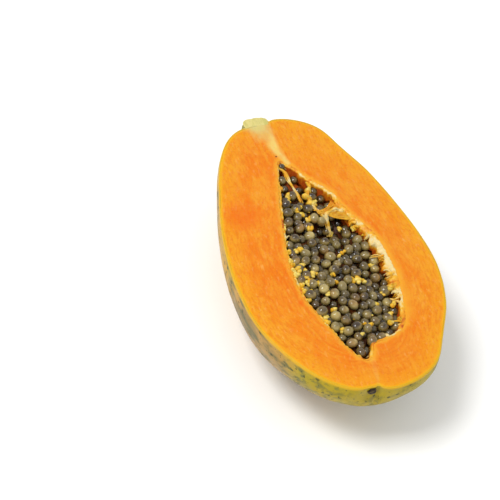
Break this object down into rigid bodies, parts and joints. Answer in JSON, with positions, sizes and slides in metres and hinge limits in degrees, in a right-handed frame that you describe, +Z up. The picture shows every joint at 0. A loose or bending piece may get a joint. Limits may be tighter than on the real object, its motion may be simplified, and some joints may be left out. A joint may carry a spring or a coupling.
{
  "type": "papaya",
  "caption": "Half of a ripe papaya cut lengthwise, lying on its back with the cut flesh and the seed-filled cavity facing up.",
  "frame": {"origin": "under the middle of the bounding box, on the plane that the half lies on", "axes": "+Z up out of the cut face, +Y along the fruit from the blossom end to the stem, +X to the right when looking down with the stem away"},
  "size_m": [0.1124, 0.1926, 0.0549],
  "materials": {
    "flesh": "moist cut orange flesh, inside a thin waxy yellow-green skin with dark flecks",
    "seeds": "wet glossy dark seeds in a clear olive coat",
    "placenta": "moist pale yellow fibrous lining",
    "stem": "cut pale green stalk"
  },
  "bodies": {
    "root": {"flesh": "flesh", "seeds": "seeds", "placenta": "placenta", "stem": "stem"}
  },
  "joints": []
}
